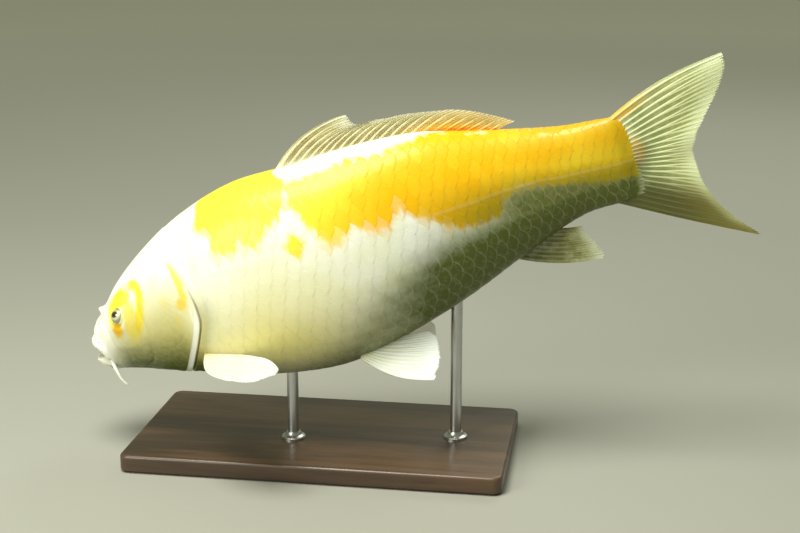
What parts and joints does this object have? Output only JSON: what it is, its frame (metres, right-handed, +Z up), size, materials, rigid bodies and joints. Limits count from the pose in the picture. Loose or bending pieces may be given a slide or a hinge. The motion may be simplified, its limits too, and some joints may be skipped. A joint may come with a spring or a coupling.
{
  "type": "koi carp model",
  "caption": "Life-size koi carp, pearly white with a golden saddle, swimming nose down on two short rods over a flat wooden base.",
  "frame": {"origin": "centre of the underside of the stand's base", "axes": "+X from the fish's head towards its tail, +Y to the fish's right side, +Z up"},
  "size_m": [0.5806, 0.2078, 0.3588],
  "materials": {
    "pearl_skin": "pearly white skin under a thin clear coat",
    "gold_skin": "golden yellow skin under a thin clear coat",
    "fin_web": "satin, thin and rayed",
    "eye_gloss": "wet, high gloss",
    "stand_wood": "dark stain, satin lacquer",
    "stand_steel": "satin"
  },
  "bodies": {
    "root": {"head": "pearl_skin", "lower_jaw": "pearl_skin", "upper_lip": "pearl_skin", "lower_lip": "pearl_skin", "gill_cover_left": "pearl_skin", "gill_cover_right": "pearl_skin", "nostril_left": "pearl_skin", "nostril_right": "pearl_skin", "barbel_corner_left": "pearl_skin", "barbel_corner_right": "pearl_skin", "barbel_upper_left": "pearl_skin", "barbel_upper_right": "pearl_skin", "trunk_front": "pearl_skin", "trunk_middle": "pearl_skin", "trunk_rear": "gold_skin", "tail_stalk": "gold_skin", "dorsal_fin": "fin_web", "anal_fin": "fin_web", "tail_fin_upper": "fin_web", "tail_fin_lower": "fin_web", "pectoral_fin_left": "fin_web", "pectoral_fin_right": "fin_web", "pelvic_fin_left": "fin_web", "pelvic_fin_right": "fin_web", "eye_left": "eye_gloss", "eye_right": "eye_gloss", "stand_base": "stand_wood", "stand_rod_front": "stand_steel", "stand_rod_rear": "stand_steel"}
  },
  "joints": []
}
